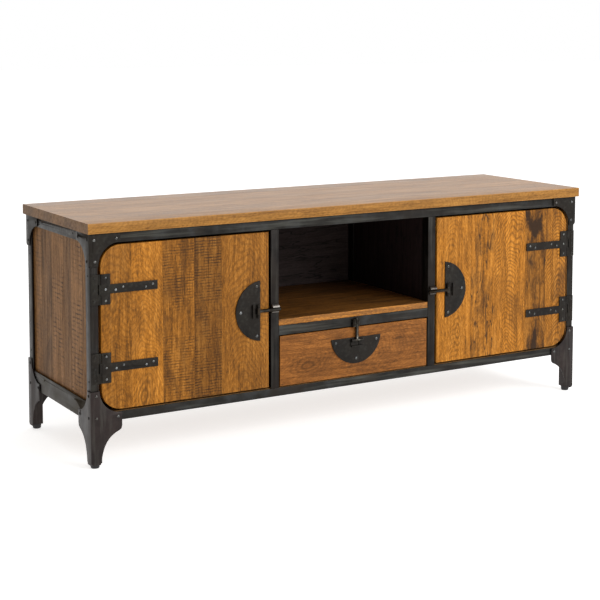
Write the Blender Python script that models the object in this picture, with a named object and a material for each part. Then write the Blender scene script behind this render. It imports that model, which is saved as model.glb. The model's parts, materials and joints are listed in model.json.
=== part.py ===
"""TV stand with two doors, an open bay and a drawer.

Mango-wood boards in a riveted angle-iron frame. Metres, +Z up, front faces -Y,
centred on the floor. Every sub-part is its own object; moving pieces have
their origin on their joint axis.
"""
import math

import bmesh
import bpy
from mathutils import Matrix, Vector

# ---------------------------------------------------------------- dimensions
WIDTH, DEPTH, HEIGHT = 1.500, 0.446, 0.590
TOP_THICK = 0.025
GAP = 0.0003                      # clearance between neighbouring pieces

FRAME_X, FRAME_Y = 0.742, 0.211   # half-width and half-depth of the iron frame
STEEL = 0.003                     # wall of every angle bar
POST_FRONT, POST_SIDE = 0.020, 0.028
FRAME_TOP = HEIGHT - TOP_THICK - GAP
TOP_BAR = 0.025
FRAME_BOTTOM = 0.111
FRONT_SILL, SIDE_SILL = 0.021, 0.047
BAR_INWARD = 0.025                # width of the hidden horizontal legs
UPRIGHT_IN, UPRIGHT_OUT = 0.2315, 0.2545
MID_LOW, MID_HIGH = 0.2675, 0.2920

PLATE = 0.0025                    # corner plates and hinge leaves
CORNER_REACH = 0.080
DOOR_IN, DOOR_OUT = 0.261, 0.715
DOOR_LOW, DOOR_HIGH = 0.1378, 0.5345
DOOR_THICK, DOOR_ROUND = 0.020, 0.050
DOOR_MID = 0.336

LEG_TUBE, LEG_WALL = 0.025, 0.002   # square tube behind each leg plate
LEG_TUBE_LOW = 0.0125
FOOT_LOW_R, FOOT_HIGH_R = 0.0104, 0.0120

HINGE_AXIS_X = 0.7185
HINGE_AXIS_Y = -FRAME_Y - 0.0005
HINGE_OFFSET = 0.0945             # hinge centres above and below DOOR_MID
HINGE_HALF = 0.0365
BARREL_R, PIN_R = 0.0030, 0.0015
RUNNING_FIT = 0.00008             # radial play of a hole round its pin

LATCH_EDGE = 0.287                # straight edge of the door half-moons
LATCH_R, LATCH_SHIFT, LATCH_THICK = 0.077, 0.008, 0.003
DOOR_LATCH_Z, DRAWER_LATCH_Z = 0.337, 0.238
DOOR_KEEPER, DRAWER_KEEPER = (0.0330, 0.0525), (0.0295, 0.0490)
LATCH_PIN_U, LATCH_PIN_W = -0.007, 0.0075
LATCH_PIN_R, LATCH_BRACKET = 0.0018, 0.0100
LATCH_BARREL_R = 0.0042
LATCH_KNUCKLE = (0.0075, 0.0175)  # knuckles run from and to these along the pin

DRAWER_HALF, DRAWER_LOW, DRAWER_HIGH = 0.228, 0.1352, 0.2645
DRAWER_FRONT = 0.018
DRAWER_BACK_Y = 0.150

FLOOR_LOW, FLOOR_THICK = FRAME_BOTTOM + STEEL + GAP, 0.018
FLOOR_TOP = FLOOR_LOW + FLOOR_THICK
BACK_Y, BACK_THICK = 0.192, 0.007
SHELF_THICK = 0.016

# ---------------------------------------------------------------- materials
COLOURS = {
    "wood_top": ((0.46, 0.30, 0.17), 0.45, 0.0),
    "wood_front": ((0.40, 0.20, 0.07), 0.45, 0.0),
    "wood_side": ((0.19, 0.12, 0.07), 0.55, 0.0),
    "wood_shelf": ((0.30, 0.15, 0.06), 0.50, 0.0),
    "wood_inner": ((0.24, 0.17, 0.10), 0.70, 0.0),
    "board_dark": ((0.020, 0.018, 0.017), 0.60, 0.0),
    "iron_frame": ((0.065, 0.065, 0.062), 0.45, 0.9),
    "iron_plate": ((0.028, 0.027, 0.026), 0.45, 0.9),
    "glide_black": ((0.012, 0.012, 0.012), 0.60, 0.0),
}


def make_material(name):
    colour, rough, metal = COLOURS[name]
    mat = bpy.data.materials.new(name)
    mat.use_nodes = True
    bsdf = mat.node_tree.nodes["Principled BSDF"]
    bsdf.inputs["Base Color"].default_value = (*colour, 1.0)
    bsdf.inputs["Roughness"].default_value = rough
    bsdf.inputs["Metallic"].default_value = metal
    mat.diffuse_color = (*colour, 1.0)
    return mat


# ---------------------------------------------------------------- mesh tools
def prism(outline, axis, low, high):
    """Extrude a 2-D outline; X takes (y, z), Y takes (x, z), Z takes (x, y)."""
    place = {"X": lambda a, b, c: (c, a, b),
             "Y": lambda a, b, c: (a, c, b),
             "Z": lambda a, b, c: (a, b, c)}[axis]
    bm = bmesh.new()
    ends = [[bm.verts.new(place(a, b, c)) for a, b in outline]
            for c in (low, high)]
    bm.faces.new(ends[0])
    bm.faces.new(ends[1])
    for i in range(len(outline)):
        j = (i + 1) % len(outline)
        bm.faces.new((ends[0][i], ends[0][j], ends[1][j], ends[1][i]))
    return bm


def block(x0, x1, y0, y1, z0, z1):
    return prism([(x0, y0), (x1, y0), (x1, y1), (x0, y1)], "Z", z0, z1)


def lathe(profile, centre, axis, steps=24):
    """Turn (radius, distance) pairs round an axis; both ends are closed."""
    axis = Vector(axis).normalized()
    side = axis.orthogonal().normalized()
    up = axis.cross(side)
    bm = bmesh.new()
    rings = []
    for radius, along in profile:
        ring = []
        for k in range(steps):
            turn = 2 * math.pi * k / steps
            ring.append(bm.verts.new(
                Vector(centre) + axis * along
                + side * radius * math.cos(turn) + up * radius * math.sin(turn)))
        rings.append(ring)
    bm.faces.new(rings[0])
    bm.faces.new(rings[-1])
    for a, b in zip(rings, rings[1:]):
        for k in range(steps):
            m = (k + 1) % steps
            bm.faces.new((a[k], a[m], b[m], b[k]))
    return bm


def rod(centre, axis, radius, low, high, steps=16):
    return lathe([(radius, low), (radius, high)], centre, axis, steps)


def head(centre, normal, radius=0.0036, rise=0.0016, steps=10):
    """Domed rivet head, sunk a little into the face it sits on."""
    return lathe([(radius, -0.0010), (radius, 0.0003),
                  (radius * 0.78, rise * 0.65), (radius * 0.34, rise)],
                 centre, normal, steps)


def arc(cx, cy, radius, start, end, steps):
    return [(cx + radius * math.cos(math.radians(start + (end - start) * i / steps)),
             cy + radius * math.sin(math.radians(start + (end - start) * i / steps)))
            for i in range(steps + 1)]


def soften(bm, width, segments=2):
    bmesh.ops.recalc_face_normals(bm, faces=bm.faces)
    sharp = [e for e in bm.edges if e.calc_face_angle(0) > math.radians(40)]
    bmesh.ops.bevel(bm, geom=sharp, offset=width, segments=segments,
                    profile=0.5, affect="EDGES", clamp_overlap=True)
    return bm


def add_object(name, bm, material, origin=(0, 0, 0)):
    bmesh.ops.remove_doubles(bm, verts=bm.verts, dist=1e-6)
    bmesh.ops.recalc_face_normals(bm, faces=bm.faces)
    bmesh.ops.translate(bm, verts=bm.verts, vec=-Vector(origin))
    mesh = bpy.data.meshes.new(name)
    bm.to_mesh(mesh)
    bm.free()
    mesh.materials.append(bpy.data.materials[material])
    for face in mesh.polygons:
        face.use_smooth = True
    mesh.set_sharp_from_angle(angle=math.radians(35))
    obj = bpy.data.objects.new(name, mesh)
    obj.location = origin
    bpy.context.scene.collection.objects.link(obj)
    return obj


def joined(parts):
    """Several loose bodies in one mesh, used as a single Boolean operand."""
    total = bmesh.new()
    for bm in parts:
        bmesh.ops.recalc_face_normals(bm, faces=bm.faces)
        piece = bpy.data.meshes.new("piece")
        bm.to_mesh(piece)
        bm.free()
        total.from_mesh(piece)
        bpy.data.meshes.remove(piece)
    return total


def combine(name, base, material, add=(), cut=(), origin=(0, 0, 0)):
    """One closed body: base plus every part of add, less every part of cut."""
    obj = add_object(name, base, material)
    helpers = []
    for parts, operation in ((add, "UNION"), (cut, "DIFFERENCE")):
        for group in parts:
            tool = add_object(name + "_tool", group, material)
            tool.hide_render = True
            tool.display_type = "WIRE"
            modifier = obj.modifiers.new(operation.lower(), "BOOLEAN")
            modifier.operation = operation
            modifier.solver = "EXACT"
            modifier.object = tool
            helpers.append(tool)
    graph = bpy.context.evaluated_depsgraph_get()
    result = bpy.data.meshes.new_from_object(obj.evaluated_get(graph))
    for used in [obj] + helpers:
        mesh = used.data
        bpy.data.objects.remove(used)
        bpy.data.meshes.remove(mesh)
    bm = bmesh.new()
    bm.from_mesh(result)
    bpy.data.meshes.remove(result)
    bmesh.ops.dissolve_limit(bm, angle_limit=math.radians(0.5),
                             verts=bm.verts, edges=bm.edges)
    return add_object(name, bm, material, origin)


# ---------------------------------------------------------------- iron frame
def angle_post(name, sx, sy):
    """Corner post: an L bar with a narrow front leg and a wider side leg."""
    x, y = FRAME_X, FRAME_Y
    outline = [(x, y), (x - POST_FRONT, y), (x - POST_FRONT, y - STEEL),
               (x - STEEL, y - STEEL), (x - STEEL, y - POST_SIDE),
               (x, y - POST_SIDE)]
    outline = [(sx * a, sy * b) for a, b in outline]
    rivets = [head((sx * x, sy * (y - 0.0140), DOOR_MID + dz), (sx, 0, 0),
                   radius=0.0024, rise=0.0011) for dz in (-0.127, 0.127)]
    combine(name, prism(outline, "Z", FRAME_BOTTOM, FRAME_TOP - TOP_BAR - GAP),
            "iron_frame", add=[joined(rivets)])


def top_frame():
    """Mitred ring of angle bar that the top board rests on."""
    profile = [(0, FRAME_TOP - TOP_BAR), (STEEL, FRAME_TOP - TOP_BAR),
               (STEEL, FRAME_TOP - STEEL), (BAR_INWARD, FRAME_TOP - STEEL),
               (BAR_INWARD, FRAME_TOP), (0, FRAME_TOP)]
    bm = bmesh.new()
    rings = [[bm.verts.new((sx * (FRAME_X - d), sy * (FRAME_Y - d), z))
              for d, z in profile]
             for sx, sy in ((-1, -1), (1, -1), (1, 1), (-1, 1))]
    for i in range(4):
        a, b = rings[i], rings[(i + 1) % 4]
        for k in range(len(profile)):
            m = (k + 1) % len(profile)
            bm.faces.new((a[k], a[m], b[m], b[k]))
    rivets = [head((sx * FRAME_X, sy * (FRAME_Y - 0.106), FRAME_TOP - 0.0115),
                   (sx, 0, 0), radius=0.0028, rise=0.0012)
              for sx in (-1, 1) for sy in (-1, 1)]
    combine("top_frame", bm, "iron_frame", add=[joined(rivets)])


def sill(name, axis, sign, length, tall, rivets=()):
    """Bottom rail: upright outer leg and a hidden leg under the floor board."""
    out = FRAME_Y if axis == "X" else FRAME_X
    z = FRAME_BOTTOM
    outline = [(sign * a, b) for a, b in
               [(out, z), (out, z + tall), (out - STEEL, z + tall),
                (out - STEEL, z + STEEL), (out - BAR_INWARD, z + STEEL),
                (out - BAR_INWARD, z)]]
    base = prism(outline, axis, -length, length)
    if rivets:
        combine(name, base, "iron_frame", add=[joined(rivets)])
    else:
        add_object(name, base, "iron_frame")


def upright(name, sx, back=False):
    """Divider upright beside the open bay."""
    a, b = UPRIGHT_IN, UPRIGHT_OUT
    if back:
        y = BACK_Y - 0.001
        legs = [(a, y), (b, y), (b, y - STEEL), (a + STEEL, y - STEEL),
                (a + STEEL, y - POST_SIDE), (a, y - POST_SIDE)]
        low, high = FLOOR_TOP + GAP, FRAME_TOP - STEEL - GAP
    else:
        y = -FRAME_Y
        legs = [(a, y), (b, y), (b, y + STEEL), (a + STEEL, y + STEEL),
                (a + STEEL, y + POST_SIDE), (a, y + POST_SIDE)]
        low = FRAME_BOTTOM + FRONT_SILL + GAP
        high = FRAME_TOP - TOP_BAR - GAP
    add_object(name, prism([(sx * p, q) for p, q in legs], "Z", low, high),
               "iron_frame")


def mid_rail():
    y = -FRAME_Y
    outline = [(y, MID_LOW), (y, MID_HIGH), (y + BAR_INWARD, MID_HIGH),
               (y + BAR_INWARD, MID_HIGH - STEEL), (y + STEEL, MID_HIGH - STEEL),
               (y + STEEL, MID_LOW)]
    half = UPRIGHT_IN - GAP
    add_object("mid_rail", prism(outline, "X", -half, half), "iron_frame")


# ------------------------------------------------------ folded corner plates
def folded_plate(name, sx, sy, outline, rivets, welded=(), hollow=()):
    """Plate folded round a post: the same outline on the front and the side.

    welded and hollow are solids joined to the plate and then cut from it.

    outline runs from the fold round the free edge and back to the fold, as
    (distance from the fold, height).
    """
    ox, oy = FRAME_X + GAP + PLATE, FRAME_Y + GAP + PLATE
    bm = bmesh.new()

    def vert(s, z, inner, on_side):
        if s == 0:
            d = PLATE if inner else 0
            return (ox - d, oy - d, z)
        if on_side:
            return (ox - (PLATE if inner else 0), oy - s, z)
        return (ox - s, oy - (PLATE if inner else 0), z)

    layers = {}
    for inner in (False, True):
        front = [bm.verts.new(vert(s, z, inner, False)) for s, z in outline]
        side = [front[0]] + [bm.verts.new(vert(s, z, inner, True))
                             for s, z in outline[1:-1]] + [front[-1]]
        layers[inner] = (front, side)
        bm.faces.new(front)
        bm.faces.new(side)
    for outer, inner in zip(layers[False], layers[True]):
        for i in range(len(outline) - 1):
            bm.faces.new((outer[i], outer[i + 1], inner[i + 1], inner[i]))
    heads = []
    for s, z in rivets:
        heads.append(head((ox - s, oy, z), (0, 1, 0)))
        heads.append(head((ox, oy - s, z), (1, 0, 0)))
    heads = joined(heads)
    for body in (bm, heads, *welded, *hollow):
        bmesh.ops.scale(body, vec=(sx, sy, 1), verts=body.verts)
    combine(name, bm, "iron_plate", add=[heads, *welded], cut=hollow)


def corner_centre(z):
    """Centre of the door's rounded corner as a distance from the fold."""
    return FRAME_X + GAP + PLATE - (DOOR_OUT - DOOR_ROUND), z


SWEEP = DOOR_ROUND + 0.007        # radius of the hollow curve round the door


def gusset_outline():
    s, z = corner_centre(DOOR_HIGH - DOOR_ROUND)
    curve = arc(s, z, SWEEP, 90, 180, 10)
    return ([(0, FRAME_TOP - GAP), (CORNER_REACH, FRAME_TOP - GAP),
             (CORNER_REACH, z + SWEEP)]
            + curve + [(0.0035, z), (0, z + 0.0055)])


def leg_outline():
    s, z = corner_centre(DOOR_LOW + DOOR_ROUND)
    curve = arc(s, z, SWEEP, 180, 270, 10)
    foot = [(0.0800, 0.0985), (0.0778, 0.0905), (0.0725, 0.0868),
            (0.0650, 0.0835), (0.0565, 0.0785), (0.0480, 0.0715),
            (0.0405, 0.0620), (0.0345, 0.0510), (0.0305, 0.0390),
            (0.0278, 0.0270), (0.0268, 0.0170), (0.0235, 0.0088)]
    return ([(0, z - 0.001), (0.018, z - 0.001)] + curve
            + [(CORNER_REACH, z - SWEEP)] + foot + [(0.0040, 0.0088), (0, 0.0140)])


def leg_tube():
    """Square tube in the fold of a leg plate, and the hollow inside it."""
    weld = GAP + PLATE / 2            # the tube's outer walls sink into the plate
    x, y, bite = FRAME_X, FRAME_Y, LEG_WALL
    high = FRAME_BOTTOM - GAP
    outer = block(x - LEG_TUBE, x + weld, y - LEG_TUBE, y + weld, LEG_TUBE_LOW, high)
    inner = block(x - LEG_TUBE + bite, x - bite, y - LEG_TUBE + bite, y - bite,
                  LEG_TUBE_LOW - 0.001, high + 0.001)
    return [outer], [inner]


def foot(name, sx, sy):
    """Round tapered glide with a plug pushed into the leg tube."""
    middle = LEG_TUBE / 2
    centre = (sx * (FRAME_X - middle), sy * (FRAME_Y - middle), 0)
    shoulder = LEG_TUBE_LOW - GAP
    plug = middle - LEG_WALL - GAP
    add_object(name, lathe([(FOOT_LOW_R - 0.0010, 0), (FOOT_LOW_R, 0.0012),
                            (FOOT_HIGH_R, shoulder), (plug, shoulder),
                            (plug, shoulder + 0.0150)],
                           centre, (0, 0, 1), 24), "glide_black")


# ---------------------------------------------------------------- wood parts
def wood_box(name, box, material, edge=0.0012, origin=(0, 0, 0)):
    add_object(name, soften(block(*box), edge, 1), material, origin)


def shelf():
    notch_front, notch_back = -FRAME_Y + POST_SIDE + GAP, BACK_Y - 0.001 - POST_SIDE - GAP
    narrow, wide = UPRIGHT_IN - GAP, UPRIGHT_IN + STEEL + GAP / 2
    front, back = -FRAME_Y + 0.0010, BACK_Y - GAP
    right = [(narrow, front), (narrow, notch_front), (wide, notch_front),
             (wide, notch_back), (narrow, notch_back), (narrow, back)]
    outline = right + [(-x, y) for x, y in reversed(right)]
    z = MID_HIGH + GAP
    add_object("shelf", prism(outline, "Z", z, z + SHELF_THICK), "wood_shelf")


def door_outline(sx):
    r = DOOR_ROUND
    cx = DOOR_OUT - r
    outline = ([(DOOR_IN, DOOR_LOW)]
               + arc(cx, DOOR_LOW + r, r, -90, 0, 10)
               + arc(cx, DOOR_HIGH - r, r, 0, 90, 10)
               + [(DOOR_IN, DOOR_HIGH)])
    return [(sx * x, z) for x, z in outline]


def door(name, sx, origin):
    bm = prism(door_outline(sx), "Y", -FRAME_Y, -FRAME_Y + DOOR_THICK)
    add_object(name, soften(bm, 0.0012, 1), "wood_front", origin)


# ---------------------------------------------------------------- hinges
def hinge(tag, sx, z, origin):
    """T-strap hinge: a leaf on the post with the pin, a strap on the door."""
    ax, ay = sx * HINGE_AXIS_X, HINGE_AXIS_Y
    y0, y1 = -FRAME_Y - GAP - PLATE, -FRAME_Y - GAP
    third = HINGE_HALF / 3

    def plate(x0, x1, half):
        return block(min(sx * x0, sx * x1), max(sx * x0, sx * x1),
                     y0, y1, z - half, z + half)

    def web(x_plate, low, high):
        x_axis = HINGE_AXIS_X
        return block(min(sx * x_plate, sx * x_axis), max(sx * x_plate, sx * x_axis),
                     y0 + 0.0004, y1 - 0.0002, z + low, z + high)

    knuckles = ((-HINGE_HALF, -third - GAP / 2), (third + GAP / 2, HINGE_HALF))
    heads = joined([head((sx * 0.7330, y0, z + dz), (0, -1, 0), 0.0026, 0.0011)
                    for dz in (-0.0275, 0, 0.0275)])
    parts = [heads]
    for low, high in knuckles:
        parts.append(web(0.7245, low, high))
        parts.append(rod((ax, ay, z), (0, 0, 1), BARREL_R, low, high))
    parts.append(rod((ax, ay, z), (0, 0, 1), PIN_R, -HINGE_HALF + 0.004,
                     HINGE_HALF - 0.004, 24))
    combine(f"hinge_{tag}_leaf", plate(0.7235, 0.7410, HINGE_HALF),
            "iron_plate", add=parts)

    heads = joined([head((sx * x, y0, z + dz), (0, -1, 0), 0.0026, 0.0011)
                    for x, dz in ((0.7035, -0.0275), (0.7035, 0), (0.7035, 0.0275),
                                  (0.6780, -0.0030), (0.6590, 0.0025),
                                  (0.6000, -0.0030), (0.5815, 0.0025))])
    strap = plate(0.5690, 0.6940, 0.0108)
    inner = third - GAP / 2
    parts = [strap, web(0.7130, -inner, inner),
             rod((ax, ay, z), (0, 0, 1), BARREL_R, -inner, inner), heads]
    hole = rod((ax, ay, z), (0, 0, 1), PIN_R + RUNNING_FIT, -inner - 0.002,
               inner + 0.002, 24)
    combine(f"hinge_{tag}_strap", plate(0.6915, 0.7150, HINGE_HALF),
            "iron_plate", add=parts, cut=[hole], origin=origin)


# ---------------------------------------------------------------- latches
def latch(tag, place, plate_origin, keeper):
    """Half-moon plate with a pinned arm that drops into an open keeper.

    place maps (along the arm, along the straight edge, outwards) to the world,
    and keeper is the keeper's reach along the arm.
    """
    def put(bm):
        bmesh.ops.transform(bm, matrix=place, verts=bm.verts)
        return bm

    def local_box(u0, u1, v0, v1, w0, w1):
        return put(block(u0, u1, v0, v1, w0, w1))

    def local_head(u, v, w, radius=0.0036, rise=0.0015):
        return put(head((u, v, w), (0, 0, 1), radius, rise))

    t = LATCH_THICK
    edge = math.degrees(math.acos(LATCH_SHIFT / LATCH_R))
    moon = arc(LATCH_SHIFT, 0, LATCH_R, 180 - edge, 180 + edge, 28)
    base = put(prism(moon, "Z", GAP, t))
    inner, outer = LATCH_KNUCKLE
    back, w = -0.0240, LATCH_PIN_W
    bracket = []
    for sv in (-1, 1):
        low, high = sorted((sv * inner, sv * outer))
        bracket.append(local_box(back, LATCH_PIN_U, low, high, t - 0.001, t + 0.0020))
        bracket.append(put(rod((LATCH_PIN_U, 0, w), (0, 1, 0), LATCH_BARREL_R,
                               low, high, 20)))
    web = local_box(back, back + 0.0035, -outer, outer, t - 0.001, LATCH_BRACKET)
    pin = put(rod((LATCH_PIN_U, 0, w), (0, 1, 0), LATCH_PIN_R,
                  -outer + 0.002, outer - 0.002, 24))
    screws = joined([local_head(u, v, t) for u, v in
                     ((-0.0100, -0.0630), (-0.0100, 0.0630), (-0.0555, 0.0))])
    combine(f"latch_{tag}_plate", base, "iron_plate",
            add=bracket + [web, pin, screws], origin=plate_origin)

    half, flat, rise = 0.0042, w - 0.0023, 0.0028
    bar = ([(-half, flat), (half, flat), (half, w)]
           + [(half * math.cos(math.pi * k / 8), w + rise * math.sin(math.pi * k / 8))
              for k in range(1, 8)] + [(-half, w)])
    hub = put(rod((LATCH_PIN_U, 0, w), (0, 1, 0), LATCH_BARREL_R,
                  -inner + GAP, inner - GAP, 20))
    hole = put(rod((LATCH_PIN_U, 0, w), (0, 1, 0), LATCH_PIN_R + RUNNING_FIT,
                   -inner, inner, 24))
    tip = keeper[1] + 0.0035
    combine(f"latch_{tag}_arm", put(prism(bar, "X", LATCH_PIN_U, tip)),
            "iron_plate", add=[hub], cut=[hole],
            origin=place @ Vector((LATCH_PIN_U, 0, LATCH_PIN_W)))

    # Keeper: a hood with a sloping back over an open slot, and a low lip opposite.
    slot, hood, lip = 0.0053, 0.0135, 0.0092
    saddle = ([(-lip, GAP), (-lip, 0.0040), (-lip + 0.0012, 0.0062), (-slot, 0.0066),
               (-slot, 0.0030), (slot, 0.0030), (slot, 0.0108)]
              + [(slot + (hood - slot) * math.sin(math.radians(turn)),
                  GAP + 0.0104 * math.cos(math.radians(turn)))
                 for turn in range(15, 91, 15)])
    add_object(f"latch_{tag}_keeper", put(prism(saddle, "X", *keeper)), "iron_plate")


# ---------------------------------------------------------------- assembly
def build():
    for obj in list(bpy.data.objects):
        bpy.data.objects.remove(obj)
    for name in COLOURS:
        make_material(name)

    for sy, row in ((-1, "front"), (1, "back")):
        for sx, hand in ((-1, "left"), (1, "right")):
            tag = f"{row}_{hand}"
            angle_post(f"post_{tag}", sx, sy)
            folded_plate(f"gusset_{tag}", sx, sy, gusset_outline(),
                         ((0.0130, 0.5495), (0.0700, 0.5505), (0.0150, 0.4980)))
            welded, hollow = leg_tube()
            folded_plate(f"leg_{tag}", sx, sy, leg_outline(),
                         ((0.0145, 0.1745), (0.0145, 0.1210), (0.0700, 0.1200)),
                         welded, hollow)
            foot(f"foot_{tag}", sx, sy)
    top_frame()
    run_x = FRAME_X - POST_FRONT - GAP
    run_y = FRAME_Y - POST_SIDE - GAP
    sill("sill_front", "X", -1, run_x, FRONT_SILL)
    sill("sill_back", "X", 1, run_x, FRONT_SILL)
    for sx, hand in ((-1, "left"), (1, "right")):
        rivets = [head((sx * FRAME_X, sy * (FRAME_Y - 0.106), 0.147), (sx, 0, 0),
                       radius=0.0028, rise=0.0012) for sy in (-1, 1)]
        sill(f"sill_{hand}", "Y", sx, run_y, SIDE_SILL, rivets)
        upright(f"upright_front_{hand}", sx)
        upright(f"upright_back_{hand}", sx, back=True)
    mid_rail()

    half_w, half_d = WIDTH / 2, DEPTH / 2
    add_object("top_board", soften(block(-half_w, half_w, -half_d, half_d,
                                         HEIGHT - TOP_THICK, HEIGHT), 0.0015),
               "wood_top")
    inner_front, inner_top = -FRAME_Y + STEEL + GAP, FRAME_TOP - STEEL - GAP
    stand = FLOOR_TOP + GAP
    wide = FRAME_X - STEEL - 0.0005
    wood_box("floor_board", (-wide, wide, inner_front, BACK_Y - GAP,
                             FLOOR_LOW, FLOOR_TOP), "wood_inner")
    wood_box("back_panel", (-wide, wide, BACK_Y, BACK_Y + BACK_THICK,
                            FLOOR_LOW, inner_top), "board_dark", 0.0005)
    for sx, hand in ((-1, "left"), (1, "right")):
        a, b = sorted((sx * 0.7355, sx * 0.7205))
        wood_box(f"side_panel_{hand}", (a, b, inner_front, BACK_Y - GAP,
                                        stand, inner_top), "wood_side")
        a, b = sorted((sx * (UPRIGHT_IN + STEEL + GAP), sx * 0.2465))
        wood_box(f"partition_{hand}", (a, b, inner_front, BACK_Y - 0.0045,
                                       stand, inner_top), "board_dark", 0.0005)
        a, b = sorted((sx * 0.2280, sx * (UPRIGHT_IN + STEEL)))
        wood_box(f"drawer_guide_{hand}", (a, b, -FRAME_Y + POST_SIDE + GAP,
                                          BACK_Y - 0.001 - POST_SIDE - GAP,
                                          stand, stand + 0.020), "wood_inner")
    shelf()

    for sx, hand in ((-1, "left"), (1, "right")):
        origin = (sx * HINGE_AXIS_X, HINGE_AXIS_Y, DOOR_MID)
        door(f"door_{hand}", sx, origin)
        for dz, level in ((HINGE_OFFSET, "upper"), (-HINGE_OFFSET, "lower")):
            hinge(f"{hand}_{level}", sx, DOOR_MID + dz, origin)
        u = Vector((-sx, 0, 0))
        place = Matrix.Translation((sx * LATCH_EDGE, -FRAME_Y, DOOR_LATCH_Z))
        place = place @ Matrix((u, (0, 0, 1), (0, -1, 0))).transposed().to_4x4()
        latch(hand, place, origin, DOOR_KEEPER)

    place = Matrix.Translation((0, -FRAME_Y, DRAWER_LATCH_Z))
    place = place @ Matrix(((0, 0, 1), (-1, 0, 0), (0, -1, 0))).transposed().to_4x4()
    grip = (0, -FRAME_Y, (DRAWER_LOW + DRAWER_HIGH) / 2)
    latch("drawer", place, grip, DRAWER_KEEPER)

    w, front_y = DRAWER_HALF, -FRAME_Y + DRAWER_FRONT
    box_low, box_high, wall = FLOOR_TOP + 0.0005, 0.2350, 0.0120
    wood_box("drawer_front", (-w, w, -FRAME_Y, front_y, DRAWER_LOW, DRAWER_HIGH),
             "wood_front", origin=grip)
    for sx, hand in ((-1, "left"), (1, "right")):
        a, b = sorted((sx * (0.2270 - wall), sx * 0.2270))
        wood_box(f"drawer_side_{hand}", (a, b, front_y + GAP, DRAWER_BACK_Y,
                                         box_low, box_high), "wood_inner",
                 origin=grip)
    inside = 0.2270 - wall - GAP
    wood_box("drawer_back", (-inside, inside, DRAWER_BACK_Y - wall, DRAWER_BACK_Y,
                             box_low, box_high), "wood_inner", origin=grip)
    wood_box("drawer_bottom", (-inside, inside, front_y + GAP,
                               DRAWER_BACK_Y - wall - GAP,
                               box_low + 0.0050, box_low + 0.0110),
             "wood_inner", 0.0004, grip)


build()
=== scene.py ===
"""TV stand with two doors, an open bay and a drawer: the looks.

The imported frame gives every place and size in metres. Boards are laid over
their solids plank by plank, bars and plates get rolled or filed edges, and
rivets and screws are set in the heads' places.
"""
import json
import math
import random

import bmesh
import bpy
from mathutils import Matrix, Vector

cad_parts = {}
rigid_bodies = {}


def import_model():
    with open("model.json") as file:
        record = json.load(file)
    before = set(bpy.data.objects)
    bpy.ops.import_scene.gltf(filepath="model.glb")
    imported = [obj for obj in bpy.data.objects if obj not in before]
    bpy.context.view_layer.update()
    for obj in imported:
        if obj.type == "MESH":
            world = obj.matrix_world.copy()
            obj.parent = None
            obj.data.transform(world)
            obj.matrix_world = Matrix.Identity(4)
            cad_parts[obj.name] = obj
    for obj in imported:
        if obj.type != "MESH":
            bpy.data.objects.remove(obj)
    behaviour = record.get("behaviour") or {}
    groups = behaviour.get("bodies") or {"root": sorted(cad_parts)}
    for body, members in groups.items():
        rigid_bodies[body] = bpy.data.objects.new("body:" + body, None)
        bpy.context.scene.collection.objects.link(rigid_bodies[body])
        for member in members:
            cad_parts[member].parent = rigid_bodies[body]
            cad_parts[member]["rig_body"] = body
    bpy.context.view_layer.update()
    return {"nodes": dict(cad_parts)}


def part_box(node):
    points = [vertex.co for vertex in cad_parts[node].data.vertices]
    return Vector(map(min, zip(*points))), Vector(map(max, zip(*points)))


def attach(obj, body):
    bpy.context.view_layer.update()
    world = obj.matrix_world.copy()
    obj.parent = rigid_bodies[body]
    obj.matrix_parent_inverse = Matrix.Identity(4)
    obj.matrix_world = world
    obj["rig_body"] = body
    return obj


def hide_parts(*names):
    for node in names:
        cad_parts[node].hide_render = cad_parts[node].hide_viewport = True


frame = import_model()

nodes = frame["nodes"]

# ---------------------------------------------------------------------------
# Iron frame. Hot-rolled angle bar, welded and ground, heated and waxed: a
# brown-grey gunmetal skin with paler rubbed streaks along each bar.
# Rolled bar has small round edges, so each solid is copied and its edges eased.
# ---------------------------------------------------------------------------


def linear(code):
    """An sRGB hex colour as linear RGBA."""
    channels = [int(code[i:i + 2], 16) / 255 for i in (1, 3, 5)]
    return tuple(c / 12.92 if c <= 0.04045 else ((c + 0.055) / 1.055) ** 2.4
                 for c in channels) + (1.0,)


def add(tree, kind, inputs=None, stops=None, **settings):
    """A node with its settings; each input takes a value or another node's socket.

    stops are a colour ramp's (position, hex colour) pairs.
    """
    node = tree.nodes.new(kind)
    for name, value in settings.items():
        setattr(node, name, value)
    for name, value in (inputs or {}).items():
        if isinstance(value, bpy.types.NodeSocket):
            tree.links.new(value, node.inputs[name])
        else:
            node.inputs[name].default_value = value
    if stops:
        ramp = node.color_ramp
        while len(ramp.elements) < len(stops):
            ramp.elements.new(1.0)
        for element, (place, colour) in zip(ramp.elements, stops):
            element.position = place
            element.color = linear(colour)
    return node


def new_material(name):
    """An empty node material and its Principled shader."""
    material = bpy.data.materials.new(name)
    material.use_nodes = True
    tree = material.node_tree
    tree.nodes.clear()
    shader = tree.nodes.new("ShaderNodeBsdfPrincipled")
    output = tree.nodes.new("ShaderNodeOutputMaterial")
    tree.links.new(shader.outputs["BSDF"], output.inputs["Surface"])
    return material, tree, shader


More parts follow.
